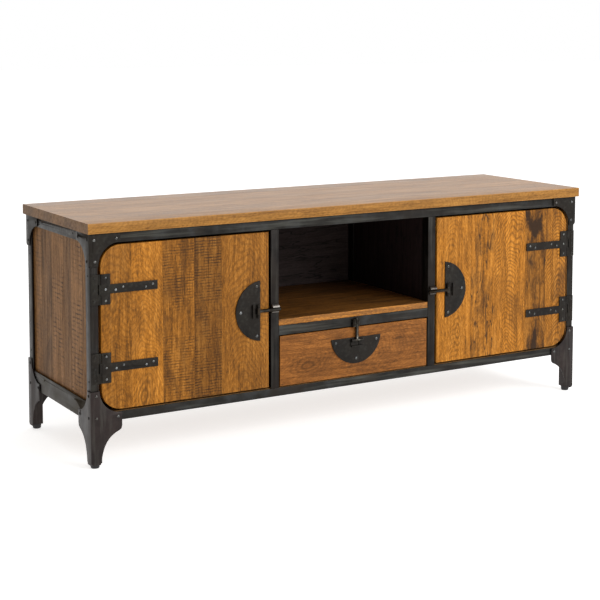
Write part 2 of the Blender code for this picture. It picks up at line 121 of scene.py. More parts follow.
def waxed_iron(name, dark, mid, brown, pale, wear_and_edge_highlight, drawn_along=(1, 1, 1),
               metallic=0.85, roughness=0.42):
    """Blackened mild steel: mottled heat colours, rubbed streaks and a fine grain.

    drawn_along scales the streaks, small along the way the bar was rolled.
    """
    material, tree, shader = new_material(name)
    place = add(tree, "ShaderNodeTexCoord").outputs["Object"]
    # Mottling about 45 mm across, and brown heat tint in patches of 110 mm.
    cloud = add(tree, "ShaderNodeTexNoise",
                {"Vector": place, "Scale": 22.0, "Detail": 5.0, "Roughness": 0.62})
    tint = add(tree, "ShaderNodeTexNoise",
               {"Vector": place, "Scale": 9.0, "Detail": 3.0, "Distortion": 0.8})
    # Rubbed streaks about 8 mm wide, and wax thickest where the skin is darkest.
    drawn = add(tree, "ShaderNodeMapping", {"Vector": place, "Scale": drawn_along})
    streak = add(tree, "ShaderNodeTexNoise", {"Vector": drawn.outputs[0], "Scale": 120.0,
                                              "Detail": 3.0})
    base = add(tree, "ShaderNodeValToRGB", {"Fac": cloud.outputs["Fac"]},
               stops=((0.30, dark), (0.52, mid), (0.75, pale)))
    share = add(tree, "ShaderNodeMapRange", {"Value": tint.outputs["Fac"], "From Min": 0.46,
                                             "From Max": 0.68, "To Max": 0.65})
    heated = add(tree, "ShaderNodeMix", {0: share.outputs[0], 6: base.outputs["Color"],
                                         7: linear(brown)}, data_type="RGBA")
    wear = add(tree, "ShaderNodeMapRange", {"Value": streak.outputs["Fac"],
                                            "From Min": 0.50, "From Max": 0.72,
                                            "To Max": wear_and_edge_highlight})
    worn = add(tree, "ShaderNodeMix", {0: wear.outputs[0], 6: heated.outputs[2],
                                       7: linear("#6f7068")}, data_type="RGBA")
    tree.links.new(worn.outputs[2], shader.inputs["Base Color"])
    shader.inputs["Metallic"].default_value = metallic
    gloss = add(tree, "ShaderNodeMapRange", {"Value": cloud.outputs["Fac"],
                                             "From Min": 0.3, "From Max": 0.7,
                                             "To Min": roughness - 0.08,
                                             "To Max": roughness + 0.12})
    tree.links.new(gloss.outputs[0], shader.inputs["Roughness"])
    # Mill scale in grains about 3 mm across.
    scale_skin = add(tree, "ShaderNodeTexNoise", {"Vector": place, "Scale": 320.0,
                                                  "Detail": 2.0})
    bump = add(tree, "ShaderNodeBump", {"Height": scale_skin.outputs["Fac"],
                                        "Strength": 0.12, "Distance": 0.0004})
    tree.links.new(bump.outputs["Normal"], shader.inputs["Normal"])
    return material


def finish_piece(bm, name, material, body, stands_for=()):
    """The mesh as an object at the origin, riding on its body."""
    mesh = bpy.data.meshes.new(name)
    bm.to_mesh(mesh)
    bm.free()
    mesh.materials.append(material)
    sharpest_curve = math.radians(38)     # steps of a round stay under this
    mesh.shade_smooth()
    mesh.set_sharp_from_angle(angle=sharpest_curve)
    piece = bpy.data.objects.new(name, mesh)
    bpy.context.scene.collection.objects.link(piece)
    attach(piece, body)
    if stands_for:
        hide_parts(*stands_for)
    return piece


def eased(node, material, rounding=0.0006):
    """A bar or plate again, merged and with its long edges rounded."""
    bm = bmesh.new()
    bm.from_mesh(nodes[node].data)
    bmesh.ops.remove_doubles(bm, verts=bm.verts, dist=2e-6)
    bmesh.ops.dissolve_limit(bm, angle_limit=math.radians(0.5), verts=bm.verts,
                             edges=bm.edges)
    shortest, bluntest = 0.0024, math.radians(50)     # rivet heads are left alone
    long_edges = [e for e in bm.edges if len(e.link_faces) == 2
                  and e.calc_face_angle(0) > bluntest and e.calc_length() > shortest]
    bmesh.ops.bevel(bm, geom=long_edges, offset=rounding, segments=2, profile=0.5,
                    affect="EDGES", clamp_overlap=True)
    return finish_piece(bm, node + "_finished", material, nodes[node]["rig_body"],
                        (node,))


# Bars are streaked along the way they were rolled: the uprights darkest, the
# level bars paler from handling, the end bars brown from the wax.
along_x, along_y, along_z = (0.05, 1, 1), (1, 0.05, 1), (1, 1, 0.05)
bar_rounding = 0.0007
upright_iron = waxed_iron("waxed_iron_upright", "#131110", "#1f1c1a", "#231d19", "#2c2b29",
                          0.13, along_z)
level_iron = waxed_iron("waxed_iron_level", "#181716", "#262523", "#28221d", "#353637",
                        0.26, along_x)
end_iron = waxed_iron("waxed_iron_end", "#1a160e", "#272014", "#2a2016", "#353125",
                      0.12, along_y)
for node in sorted(nodes):
    if node.startswith(("post_", "upright_")):
        eased(node, upright_iron, bar_rounding)
    if node in ("sill_left", "sill_right"):
        eased(node, end_iron, bar_rounding)
    if node in ("sill_front", "sill_back", "top_frame", "mid_rail"):
        eased(node, level_iron, bar_rounding)

# ---------------------------------------------------------------------------
# Corner gussets and leg plates. 2.5 mm sheet, sheared and folded round the
# posts, darker than the bars because it is only blackened and waxed.
# ---------------------------------------------------------------------------
# The gussets' sheet is near-black; the legs' is a little browner, scuffed along
# its length.
plate_iron = waxed_iron("blackened_sheet_iron", "#100e0b", "#1a1612", "#1e1812", "#24221c",
                        0.06, metallic=0.75, roughness=0.44)
leg_iron = waxed_iron("blackened_leg_iron", "#1b1817", "#292423", "#302725", "#3c3532",
                      0.14, (1, 1, 0.10), metallic=0.8, roughness=0.40)
for node in sorted(nodes):
    if node.startswith("gusset_"):
        eased(node, plate_iron)
    if node.startswith("leg_"):
        eased(node, leg_iron)

# ---------------------------------------------------------------------------
# Glides. Round and tapered, moulded in black nylon, each with a plug pushed up
# into its leg's tube. The CAD solids have their full shape already.
# ---------------------------------------------------------------------------
# Nylon from a mould: dull and black, with a grit of scuffs about 1.5 mm across.
nylon, tree, shader = new_material("moulded_black_nylon")
place = add(tree, "ShaderNodeTexCoord").outputs["Object"]
grit = add(tree, "ShaderNodeTexNoise", {"Vector": place, "Scale": 700.0, "Detail": 2.0})
scuff = add(tree, "ShaderNodeValToRGB", {"Fac": grit.outputs["Fac"]},
            stops=((0.35, "#060606"), (0.75, "#121110")))
tree.links.new(scuff.outputs["Color"], shader.inputs["Base Color"])
shader.inputs["Roughness"].default_value = 0.55
for node in sorted(nodes):
    if node.startswith("foot_"):
        nodes[node].data.materials.clear()
        nodes[node].data.materials.append(nylon)

# ---------------------------------------------------------------------------
# Doors. Five edge-glued mango planks each, sanded unevenly, stained honey-brown
# and lacquered satin. Saw marks cross two planks of the left one. Each plank is
# its own closed board, clipped to the door's rounded outline.
# ---------------------------------------------------------------------------


def mango(name, grain, light, mid, dark, vein, roughness=0.50, shine=0.14, lacquer=0.0,
          saw_gap=0.007):
    """Mango wood: streaky grain, growth rings, smoky stain, pores and saw marks.

    Each board's faces carry board_look (red tone, green saw marks, blue smoky
    stain, alpha fine black veins), board_seed, board_ring, board_middle,
    board_knot and painted_edge_highlight, so neighbours never share a figure;
    painted_edge_highlight marks the eased bevels, lightened as a painted highlight.
    """
    along = {"X": (1, 0, 0), "Y": (0, 1, 0), "Z": (0, 0, 1)}[grain]

    def drawn(factor):
        """Scale that draws a pattern out along the grain."""
        return tuple(factor if a else 1.0 for a in along)

    material, tree, shader = new_material(name)
    place = add(tree, "ShaderNodeTexCoord").outputs["Object"]
    seed = add(tree, "ShaderNodeAttribute", attribute_name="board_seed").outputs["Fac"]
    looks_given = add(tree, "ShaderNodeAttribute", attribute_name="board_look")
    look = add(tree, "ShaderNodeSeparateColor", {0: looks_given.outputs["Color"]})
    ring_share = add(tree, "ShaderNodeAttribute",
                     attribute_name="board_ring").outputs["Fac"]
    painted_edge_highlight = add(tree, "ShaderNodeAttribute", attribute_name="painted_edge_highlight").outputs["Fac"]
    shift = (7.31, 3.17, 5.73)        # how far one step of board_seed moves the figure
    own = add(tree, "ShaderNodeVectorMath", {0: seed, 1: shift, 2: place},
              operation="MULTIPLY_ADD").outputs[0]
    # A slow wander, 6 mm to either side over about 300 mm, bends the grain.
    bend = 0.022
    slow = add(tree, "ShaderNodeMapping", {"Vector": own, "Scale": drawn(0.35)})
    wander = add(tree, "ShaderNodeTexNoise", {"Vector": slow.outputs[0], "Scale": 9.0,
                                              "Detail": 2.0})
    centred = add(tree, "ShaderNodeVectorMath", {0: wander.outputs["Color"],
                                                 1: (0.5, 0.5, 0.5)},
                  operation="SUBTRACT")
    bent = add(tree, "ShaderNodeVectorMath", {0: centred.outputs[0],
                                              1: (bend, bend, bend), 2: own},
               operation="MULTIPLY_ADD").outputs[0]

    # Grain streaks 10 mm wide and 190 mm long, with fibres 2 mm wide over them.
    fibre_part, fleck_part = 0.50, 0.36
    streak_place = add(tree, "ShaderNodeMapping", {"Vector": bent, "Scale": drawn(0.055)})
    streak = add(tree, "ShaderNodeTexNoise", {"Vector": streak_place.outputs[0],
                                              "Scale": 95.0, "Detail": 6.0,
                                              "Roughness": 0.62})
    fibre_place = add(tree, "ShaderNodeMapping", {"Vector": bent, "Scale": drawn(0.05)})
    fibre = add(tree, "ShaderNodeTexNoise", {"Vector": fibre_place.outputs[0],
                                             "Scale": 430.0, "Detail": 4.0,
                                             "Roughness": 0.75})
    # Flecks of ray figure, 4 mm wide and 9 mm long, mottle the whole face.
    fleck_place = add(tree, "ShaderNodeMapping", {"Vector": own, "Scale": drawn(0.45)})
    fleck = add(tree, "ShaderNodeTexNoise", {"Vector": fleck_place.outputs[0],
                                             "Scale": 260.0, "Detail": 5.0,
                                             "Roughness": 0.8, "Distortion": 0.4})
    # Growth rings, cut at a slant: tall arches up the board's middle.
    ring_gap, arch_pull, unsteady = 0.013, 24.0, 0.30
    middle = add(tree, "ShaderNodeAttribute",
                 attribute_name="board_middle").outputs["Vector"]
    from_mid = add(tree, "ShaderNodeVectorMath", {0: place, 1: middle},
                   operation="SUBTRACT")
    sideways = add(tree, "ShaderNodeVectorMath", {0: from_mid.outputs[0],
                                                  1: tuple(1.0 - a for a in along)},
                   operation="MULTIPLY")
    square = add(tree, "ShaderNodeVectorMath", {0: sideways.outputs[0],
                                                1: sideways.outputs[0]},
                 operation="DOT_PRODUCT")
    lengthways = add(tree, "ShaderNodeVectorMath", {0: from_mid.outputs[0], 1: along},
                     operation="DOT_PRODUCT")
    arch = add(tree, "ShaderNodeMath", {0: square.outputs["Value"], 1: arch_pull,
                                        2: lengthways.outputs["Value"]},
               operation="MULTIPLY_ADD")
    loose = add(tree, "ShaderNodeMath", {0: wander.outputs["Fac"], 1: unsteady,
                                         2: arch.outputs[0]}, operation="MULTIPLY_ADD")
    turns = add(tree, "ShaderNodeMath", {0: loose.outputs[0], 1: math.tau / ring_gap},
                operation="MULTIPLY")
    wave = add(tree, "ShaderNodeMath", {0: turns.outputs[0]}, operation="SINE")
    ring = add(tree, "ShaderNodeMapRange", {"Value": wave.outputs[0], "From Min": 0.0,
                                            "From Max": 1.0})
    coarse = add(tree, "ShaderNodeMix", {0: fibre_part, 2: streak.outputs["Fac"],
                                         3: fibre.outputs["Fac"]}, data_type="FLOAT")
    figure = add(tree, "ShaderNodeMix", {0: fleck_part, 2: coarse.outputs[0],
                                         3: fleck.outputs["Fac"]}, data_type="FLOAT")
    base = add(tree, "ShaderNodeValToRGB", {"Fac": figure.outputs[0]},
               stops=((0.40, dark), (0.49, mid), (0.59, light)))
    ring_line = add(tree, "ShaderNodeMath", {0: ring.outputs[0], 1: ring_share},
                    operation="MULTIPLY")
    ringed = add(tree, "ShaderNodeMix", {0: ring_line.outputs[0], 6: base.outputs["Color"],
                                         7: linear(dark)}, data_type="RGBA")
    # A knot: tight rings round one point, drawn out along the grain, with a dark
    # heart. It fades out by 32 mm across.
    heart_reach, knot_reach, knot_gap, sway = 0.006, 0.032, 0.0075, 4.0
    knot_at = add(tree, "ShaderNodeAttribute",
                  attribute_name="board_knot").outputs["Vector"]
    from_knot = add(tree, "ShaderNodeVectorMath", {0: bent, 1: own}, operation="SUBTRACT")
    swayed = add(tree, "ShaderNodeVectorMath", {0: from_knot.outputs[0],
                                                1: (sway, sway, sway), 2: place},
                 operation="MULTIPLY_ADD")
    off_knot = add(tree, "ShaderNodeVectorMath", {0: swayed.outputs[0], 1: knot_at},
                   operation="SUBTRACT")
    oval = add(tree, "ShaderNodeVectorMath", {0: off_knot.outputs[0], 1: drawn(0.42)},
               operation="MULTIPLY")
    reach = add(tree, "ShaderNodeVectorMath", {0: oval.outputs[0]}, operation="LENGTH")
    near = add(tree, "ShaderNodeMapRange", {"Value": reach.outputs["Value"],
                                            "From Min": heart_reach,
                                            "From Max": knot_reach,
                                            "To Min": 0.75, "To Max": 0.0})
    knot_turns = add(tree, "ShaderNodeMath", {0: reach.outputs["Value"],
                                              1: math.tau / knot_gap},
                     operation="MULTIPLY")
    knot_wave = add(tree, "ShaderNodeMath", {0: knot_turns.outputs[0]}, operation="COSINE")
    knot_ring = add(tree, "ShaderNodeMapRange", {"Value": knot_wave.outputs[0],
                                                 "From Min": -0.6, "From Max": 1.0})
    knot_share = add(tree, "ShaderNodeMath", {0: near.outputs[0], 1: knot_ring.outputs[0]},
                     operation="MULTIPLY")
    knotted = add(tree, "ShaderNodeMix", {0: knot_share.outputs[0], 6: ringed.outputs[2],
                                          7: linear(dark)}, data_type="RGBA")
    # Smoky mineral stain in soft patches about 70 mm across.
    stain_place = add(tree, "ShaderNodeMapping", {"Vector": bent, "Scale": drawn(0.40)})
    stain = add(tree, "ShaderNodeTexNoise", {"Vector": stain_place.outputs[0],
                                             "Scale": 15.0, "Detail": 7.0,
                                             "Roughness": 0.66, "Distortion": 0.6})
    stain_share = add(tree, "ShaderNodeMapRange", {"Value": stain.outputs["Fac"],
                                                   "From Min": 0.47, "From Max": 0.60,
                                                   "To Max": 0.95})
    stained = add(tree, "ShaderNodeMath", {0: stain_share.outputs[0],
                                           1: look.outputs["Blue"]}, operation="MULTIPLY")
    smoky = add(tree, "ShaderNodeMix", {0: stained.outputs[0], 6: knotted.outputs[2],
                                        7: linear(vein)}, data_type="RGBA")
    # Band-saw marks across the grain, saw_gap metres apart, in broken dashes and
    # in patches about 110 mm across. A wave texture repeats every pi / 10 of its
    # scale.
    saw = add(tree, "ShaderNodeTexWave", {"Vector": own, "Scale": math.pi / 10 / saw_gap,
                                          "Distortion": 2.2,
                                          "Detail": 2.0, "Detail Scale": 1.5},
              wave_type="BANDS", bands_direction=grain)
    saw_line = add(tree, "ShaderNodeMapRange", {"Value": saw.outputs["Fac"],
                                                "From Min": 0.50, "From Max": 0.95})
    dash = add(tree, "ShaderNodeTexNoise", {"Vector": own, "Scale": 38.0, "Detail": 4.0,
                                            "Roughness": 0.7})
    dash_share = add(tree, "ShaderNodeMapRange", {"Value": dash.outputs["Fac"],
                                                  "From Min": 0.40, "From Max": 0.62})
    patch = add(tree, "ShaderNodeTexNoise", {"Vector": own, "Scale": 9.0, "Detail": 1.0})
    patch_share = add(tree, "ShaderNodeMapRange", {"Value": patch.outputs["Fac"],
                                                   "From Min": 0.40, "From Max": 0.52,
                                                   "To Max": 0.9})
    dashes = add(tree, "ShaderNodeMath", {0: saw_line.outputs[0],
                                          1: dash_share.outputs[0]}, operation="MULTIPLY")
    patched = add(tree, "ShaderNodeMath", {0: dashes.outputs[0],
                                           1: patch_share.outputs[0]}, operation="MULTIPLY")
    marks = add(tree, "ShaderNodeMath", {0: patched.outputs[0], 1: look.outputs["Green"]},
                operation="MULTIPLY")
    sawn = add(tree, "ShaderNodeMix", {0: marks.outputs[0], 6: smoky.outputs[2],
                                       7: linear(vein)}, data_type="RGBA")
    # Spalting: black veins 1 mm wide where a drawn-out noise crosses its middle.
    vein_place = add(tree, "ShaderNodeMapping", {"Vector": bent, "Scale": drawn(0.13)})
    contour = add(tree, "ShaderNodeTexNoise", {"Vector": vein_place.outputs[0],
                                               "Scale": 34.0, "Detail": 3.0,
                                               "Roughness": 0.55})
    from_middle = add(tree, "ShaderNodeMath", {0: contour.outputs["Fac"], 1: 0.5},
                      operation="SUBTRACT")
    off_line = add(tree, "ShaderNodeMath", {0: from_middle.outputs[0]},
                   operation="ABSOLUTE")
    vein_line = add(tree, "ShaderNodeMapRange", {"Value": off_line.outputs[0],
                                                 "From Min": 0.004, "From Max": 0.016,
                                                 "To Min": 0.9, "To Max": 0.0})
    veined_share = add(tree, "ShaderNodeMath", {0: vein_line.outputs[0],
                                                1: looks_given.outputs["Alpha"]},
                       operation="MULTIPLY")
    veined = add(tree, "ShaderNodeMix", {0: veined_share.outputs[0], 6: sawn.outputs[2],
                                         7: linear(vein)}, data_type="RGBA")
    # Open pores 1 mm wide, drawn a little coarse so that they show.
    pore_place = add(tree, "ShaderNodeMapping", {"Vector": own, "Scale": drawn(0.06)})
    pore = add(tree, "ShaderNodeTexNoise", {"Vector": pore_place.outputs[0],
                                            "Scale": 950.0, "Detail": 1.0})
    pore_share = add(tree, "ShaderNodeMapRange", {"Value": pore.outputs["Fac"],
                                                  "From Min": 0.62, "From Max": 0.74,
                                                  "To Max": 0.55})
    pored = add(tree, "ShaderNodeMix", {0: pore_share.outputs[0], 6: veined.outputs[2],
                                        7: linear(vein)}, data_type="RGBA")
    # Tone 1 is half as bright again as the stain's own colours, and -0.4 is black.
    # A solid without board_look stands at nought, under half as bright.
    value = add(tree, "ShaderNodeMapRange", {"Value": look.outputs["Red"],
                                             "From Min": -0.4, "To Min": 0.01,
                                             "To Max": 1.55})
    toned = add(tree, "ShaderNodeHueSaturation", {"Color": pored.outputs[2],
                                                  "Value": value.outputs[0]})
    # Painted highlight: the eased bevels, marked by painted_edge_highlight, are lightened
    # about a third of the way to the light colour.
    wear_and_edge_highlight = add(tree, "ShaderNodeMath", {0: painted_edge_highlight, 1: 0.35}, operation="MULTIPLY")
    edge_highlighted = add(tree, "ShaderNodeMix", {0: wear_and_edge_highlight.outputs[0], 6: toned.outputs["Color"],
                                         7: linear(light)}, data_type="RGBA")
    tree.links.new(edge_highlighted.outputs[2], shader.inputs["Base Color"])
    gloss = add(tree, "ShaderNodeMapRange", {"Value": streak.outputs["Fac"],
                                             "From Min": 0.3, "From Max": 0.7,
                                             "To Min": roughness + 0.10,
                                             "To Max": roughness - 0.06})
    tree.links.new(gloss.outputs[0], shader.inputs["Roughness"])
    shader.inputs["Specular IOR Level"].default_value = shine
    # Lacquer pools on level faces and is rubbed thin on upright ones.
    facing = add(tree, "ShaderNodeNewGeometry")
    upright = add(tree, "ShaderNodeSeparateXYZ", {0: facing.outputs["Normal"]})
    pooled = add(tree, "ShaderNodeMath", {0: upright.outputs["Z"], 1: lacquer},
                 operation="MULTIPLY", use_clamp=True)
    tree.links.new(pooled.outputs[0], shader.inputs["Coat Weight"])
    shader.inputs["Coat Roughness"].default_value = 0.38
    relief = add(tree, "ShaderNodeMath", {0: marks.outputs[0], 1: -1.5,
                                          2: fibre.outputs["Fac"]},
                 operation="MULTIPLY_ADD")
    bump = add(tree, "ShaderNodeBump", {"Height": relief.outputs[0], "Strength": 0.25,
                                        "Distance": 0.0006})
    tree.links.new(bump.outputs["Normal"], shader.inputs["Normal"])
    return material


def clipped(outline, low, high):
    """The part of a convex (across, along) outline between two cuts."""
    for limit, keep_above in ((low, True), (high, False)):
        kept = []
        for (a, b), (c, d) in zip(outline, outline[1:] + outline[:1]):
            inside = (a >= limit) if keep_above else (a <= limit)
            next_inside = (c >= limit) if keep_above else (c <= limit)
            if inside:
                kept.append((a, b))
            if inside != next_inside:
                share = (limit - a) / (c - a)
                kept.append((limit, b + (d - b) * share))
        outline = kept
    return outline


def boarded(outline, cuts, looks, to_world, thickness, rounding=0.0014, seam=0.0002,
            edge_tone=1.0, knots=()):
    """Closed boards side by side in one outline.

    to_world takes (across, along, depth). Each look is (tone, saw marks, smoky
    stain, rings, seed, black veins), edge_tone scales the tone of the edges and
    knots gives (board number, across, along) for the boards that have one.
    """
    total = bmesh.new()
    fields = {"seed": total.faces.layers.float.new("board_seed"),
              "ring": total.faces.layers.float.new("board_ring"),
              "painted_edge_highlight": total.faces.layers.float.new("painted_edge_highlight"),
              "middle": total.faces.layers.float_vector.new("board_middle"),
              "knot": total.faces.layers.float_vector.new("board_knot"),
              "look": total.faces.layers.float_color.new("board_look")}
    nowhere = (9.0, 9.0, 9.0)         # a board's knot when it has none
    on_edge, on_flat, on_end = 0.15, 0.97, 0.85    # how squarely a face has to look
    soaked = 0.38                     # end grain takes up more stain
    heart = {number: to_world(across, along, 0.0) for number, across, along in knots}
    half_way = (min(b for _, b in outline) + max(b for _, b in outline)) / 2
    run = (Vector(to_world(0, 1, 0)) - Vector(to_world(0, 0, 0))).normalized()
    for number, (low, high, look) in enumerate(zip(cuts, cuts[1:], looks)):
        middle = to_world((low + high) / 2, half_way, 0.0)
        shape = clipped(outline, low + seam / 4, high - seam / 4)
        tops = [total.verts.new(to_world(a, b, 0.0)) for a, b in shape]
        feet = [total.verts.new(to_world(a, b, thickness)) for a, b in shape]
        faces = [total.faces.new(tops), total.faces.new(feet)]
        for i in range(len(shape)):
            j = (i + 1) % len(shape)
            faces.append(total.faces.new((tops[i], tops[j], feet[j], feet[i])))
        inner_cuts = [c for c, used in ((low + seam / 4, low != cuts[0]),
                                        (high - seam / 4, high != cuts[-1])) if used]
        outer, inner = [], []
        for ring in (tops, feet):
            for i in range(len(shape)):
                j = (i + 1) % len(shape)
                edge = total.edges.get((ring[i], ring[j]))
                on_seam = any(abs(shape[i][0] - c) < 1e-7 and abs(shape[j][0] - c) < 1e-7
                              for c in inner_cuts)
                (inner if on_seam else outer).append(edge)
        before = set(total.faces) - set(faces)
        bmesh.ops.recalc_face_normals(total, faces=faces)
        bmesh.ops.bevel(total, geom=inner, offset=seam, segments=1, profile=0.5,
                        affect="EDGES", clamp_overlap=True)
        outer = [e for e in outer if e.is_valid]
        bmesh.ops.bevel(total, geom=outer, offset=rounding, segments=3, profile=0.5,
                        affect="EDGES", clamp_overlap=True)
        flat = (Vector(to_world(0, 0, 1)) - Vector(to_world(0, 0, 0))).normalized()
        for face in total.faces:
            if face in before:
                continue
            lean = abs(face.normal.dot(flat))
            face[fields["seed"]] = look[4]
            face[fields["ring"]] = look[3]
            face[fields["middle"]] = middle
            face[fields["knot"]] = heart.get(number, nowhere)
            tone = look[0] * (edge_tone if lean < on_edge else 1.0)
            if abs(face.normal.dot(run)) > on_end:
                tone -= soaked
            face[fields["look"]] = (tone, look[1], look[2], look[5])
            # Bevel faces, neither edge-on nor flat, are marked for the painted highlight.
            face[fields["painted_edge_highlight"]] = 1.0 if on_edge < lean < on_flat else 0.0
    bmesh.ops.recalc_face_normals(total, faces=total.faces)
    return total


# Honey stain under satin lacquer, grain upright.
door_wood = mango("honey_mango_upright", "Z", "#ab722a", "#855211", "#4f3009", "#301d0b")
door_round = 0.050
# From the hinge side: the planks' widths (the last takes the rest), looks, knots.
planks = {
    "left": ((0.0790, 0.0815, 0.0850, 0.0755),
             ((0.53, 0.00, 0.30, 0.30, 0.3, 0.10), (0.84, 0.05, 0.30, 0.35, 1.7, 0.10),
              (0.44, 1.00, 0.45, 0.10, 2.2, 0.00), (0.16, 1.00, 0.45, 0.10, 3.9, 0.00),
              (0.42, 0.15, 0.15, 0.35, 5.1, 0.05)),
             ((0, 0.052, 0.262), (1, 0.112, 0.024))),
    "right": ((0.0750, 0.0746, 0.1085, 0.0815),
              ((0.70, 0.00, 0.55, 0.70, 6.4, 0.15), (0.40, 0.10, 1.35, 0.20, 7.2, 0.60),
               (1.00, 0.00, 0.35, 0.60, 8.6, 0.10), (0.78, 0.05, 0.60, 0.20, 9.3, 1.00),
               (0.92, 0.00, 0.25, 0.40, 2.9, 0.30)),
              ((0, 0.040, 0.170), (1, 0.120, 0.215), (4, 0.395, 0.075)))}
for hand, side in (("left", -1), ("right", 1)):
    low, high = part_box(f"door_{hand}")
    hinge_x = low.x if side < 0 else high.x
    wide, tall, thick = high.x - low.x, high.z - low.z, high.y - low.y
    corner = [(door_round - door_round * math.cos(t), door_round - door_round * math.sin(t))
              for t in (math.pi / 2 * k / 16 for k in range(17))]
    outline = (corner + [(wide, 0.0), (wide, tall)]
               + [(a, tall - b) for a, b in reversed(corner)])
    widths, looks, knots = planks[hand]
    cuts = [0.0]
    for width in widths:
        cuts.append(cuts[-1] + width)
    cuts.append(wide)
    bm = boarded(outline, cuts, looks,
                 lambda a, b, d: (hinge_x - side * a, low.y + d, low.z + b), thick,
                 knots=knots)
    finish_piece(bm, f"door_{hand}_planks", door_wood, f"{hand}_door",
                 (f"door_{hand}",))

# ---------------------------------------------------------------------------
# Drawer. One mango board across the front with a knot's swirl at its left,
# and a plain box of unfinished mango behind it.
# ---------------------------------------------------------------------------
# The doors' stain on a redder board, grain level.
drawer_wood = mango("honey_mango_level", "X", "#a0652b", "#7d4b1b", "#50300f", "#301c0b")
low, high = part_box("drawer_front")
wide, tall = high.x - low.x, high.z - low.z
bm = boarded([(0, 0), (tall, 0), (tall, wide), (0, wide)], [0, tall],
             [(0.44, 0.10, 0.30, 0.28, 4.4, 0.15)],
             lambda a, b, d: (low.x + b, low.y + d, low.z + a), high.y - low.y,
             knots=((0, 0.055, 0.075),))
finish_piece(bm, "drawer_front_board", drawer_wood, "drawer",
             ("drawer_front",))
# Bare sawn mango: dry, pale brown and dull.
raw_wood = mango("raw_mango", "Y", "#8f7048", "#755634", "#563c22", "#3a2816", 0.62)
for node in ("drawer_side_left", "drawer_side_right", "drawer_back", "drawer_bottom",
             "drawer_guide_left", "drawer_guide_right"):
    nodes[node].data.materials.clear()
    nodes[node].data.materials.append(raw_wood)

# ---------------------------------------------------------------------------
# Top, shelf and floor board. Long mango planks edge-glued along the length,
# with eased edges; the top is paler where light glances off the lacquer.
# ---------------------------------------------------------------------------
# Worn lacquer on the top throws a pale glaze; the shelf is duller and browner.
top_wood = mango("pale_mango_level", "X", "#ac7a38", "#8f6229", "#6a4417", "#452b10",
                 0.42, 0.16, 0.55)
shelf_wood = mango("brown_mango_level", "X", "#a96f2c", "#7b5024", "#4f351b", "#281a0e")
draw = random.Random(11)              # the planks' widths and looks


def long_boards(node, count, material, tone, rounding=0.0014, edge_tone=1.0):
    """Planks along X, of slightly uneven width, over a board-shaped solid."""
    low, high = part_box(node)
    deep, wide = high.y - low.y, high.x - low.x
    cuts = [0.0] + [deep * (k + draw.uniform(-0.16, 0.16)) / count
                    for k in range(1, count)] + [deep]
    looks = [(tone + draw.uniform(-0.09, 0.09), draw.uniform(0.0, 0.15),
              draw.uniform(0.05, 0.30), draw.uniform(0.05, 0.35), draw.uniform(0, 30),
              draw.uniform(0.0, 0.25)) for _ in range(count)]
    bm = boarded([(0, 0), (deep, 0), (deep, wide), (0, wide)], cuts, looks,
                 lambda a, b, d: (low.x + b, low.y + a, high.z - d), high.z - low.z,
                 rounding, edge_tone=edge_tone)
    finish_piece(bm, f"{node}_planks", material, "cabinet", (node,))


long_boards("top_board", 6, top_wood, 0.58, 0.0016, 0.74)
long_boards("floor_board", 5, raw_wood, 0.45)
# The shelf's front edge is far paler than its upper face, which is darkened as painted
# shade for the bay's shadow.
shelf = eased("shelf", shelf_wood, 0.0010).data
shelf.attributes.new("board_look", "FLOAT_COLOR", "FACE")
shelf.attributes.new("board_seed", "FLOAT", "FACE")
for face in shelf.polygons:
    front = face.normal.y < -0.5 and face.center.y < -0.2
    # Painted shade: the upper face takes a low tone, smoky stain and veins; the front edge
    # keeps a high tone.
    look = (0.72, 0.0, 0.0, 0.0) if front else (-0.15, 0.0, 0.5, 0.1)
    shelf.attributes["board_look"].data[face.index].color = look
    shelf.attributes["board_seed"].data[face.index].value = 12.6

# ---------------------------------------------------------------------------
# End panels. Upright mango planks set behind the frame, greyer and duller
# than the doors, with long broken saw marks on some of them.
# ---------------------------------------------------------------------------
# Stain without lacquer: grey-brown and dull, with saw marks 11 mm apart.
side_wood = mango("grey_mango_upright", "Z", "#956b3d", "#75522e", "#4e351c", "#281a0e",
                  0.55, saw_gap=0.011)
# Each plank's width, and its tone, saw marks, smoky stain and rings.
end_planks = ((0.064, (0.50, 0.20, 0.25, 0.15)), (0.070, (0.58, 1.00, 0.20, 0.10)),
              (0.052, (0.40, 0.20, 0.30, 0.15)), (0.078, (0.62, 1.00, 0.20, 0.15)),
              (0.072, (0.34, 0.10, 0.40, 0.15)), (None, (0.56, 0.60, 0.25, 0.20)))
for hand, side in (("left", -1), ("right", 1)):
    low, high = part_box(f"side_panel_{hand}")
    deep, tall = high.y - low.y, high.z - low.z
    cuts = [0.0]
    for width, _ in end_planks[:-1]:
        cuts.append(cuts[-1] + width)
    cuts.append(deep)
    looks = [look + (20.0 + side * 3.7 + 1.3 * k, 0.1)
             for k, (_, look) in enumerate(end_planks)]
    outer_x = low.x if side < 0 else high.x
    bm = boarded([(0, 0), (deep, 0), (deep, tall), (0, tall)], cuts, looks,
                 lambda a, b, d: (outer_x - side * d, low.y + a, low.z + b),
                 high.x - low.x, 0.0008)
    finish_piece(bm, f"side_panel_{hand}_planks", side_wood, "cabinet",
                 (f"side_panel_{hand}",))

# ---------------------------------------------------------------------------
# Partitions and back. Thin board, near-black on the partitions and dark brown
# on the back, left matt, with a faint grain showing through.
# ---------------------------------------------------------------------------
# Near-black on the partitions, and a paler dark brown on the back.
dark_board = mango("near_black_board", "Z", "#3a2a2b", "#2e2223", "#21191a", "#140f10",
                   0.62)
brown_board = mango("dark_brown_board", "X", "#594b49", "#473b39", "#352b29", "#221b1a",
                    0.62)
for node, stain in (("back_panel", brown_board), ("partition_left", dark_board),
                    ("partition_right", dark_board)):
    nodes[node].data.materials.clear()
    nodes[node].data.materials.append(stain)
